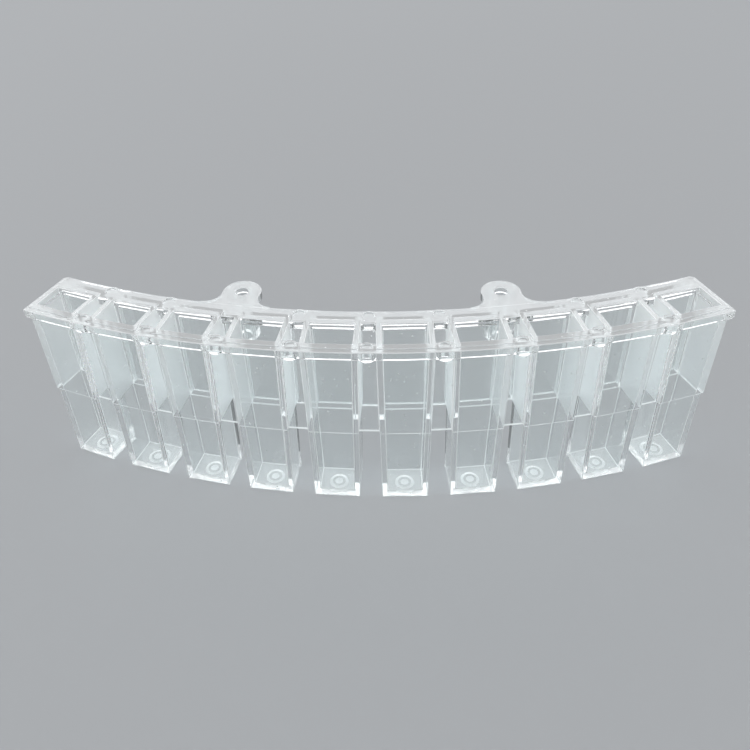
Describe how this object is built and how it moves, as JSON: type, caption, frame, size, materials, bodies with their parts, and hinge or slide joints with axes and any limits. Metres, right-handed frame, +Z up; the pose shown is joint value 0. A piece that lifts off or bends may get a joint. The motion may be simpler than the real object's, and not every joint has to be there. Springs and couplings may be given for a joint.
{
  "type": "cuvette segment",
  "caption": "Curved segment of clear square-section cuvettes in a row, joined by a top flange with screw ears on its inner side.",
  "frame": {"origin": "middle of the part's box in X and Y, at the feet of the wells in Z", "axes": "+X along the row of wells, +Z up towards the open mouths, -Y towards the outer, convex side of the arc"},
  "size_m": [0.1134, 0.021, 0.033],
  "materials": {
    "clear_plastic": "clear, glossy; the side walls of the collar are lightly frosted"
  },
  "bodies": {
    "root": {"cuvette_segment": "clear_plastic"}
  },
  "joints": []
}
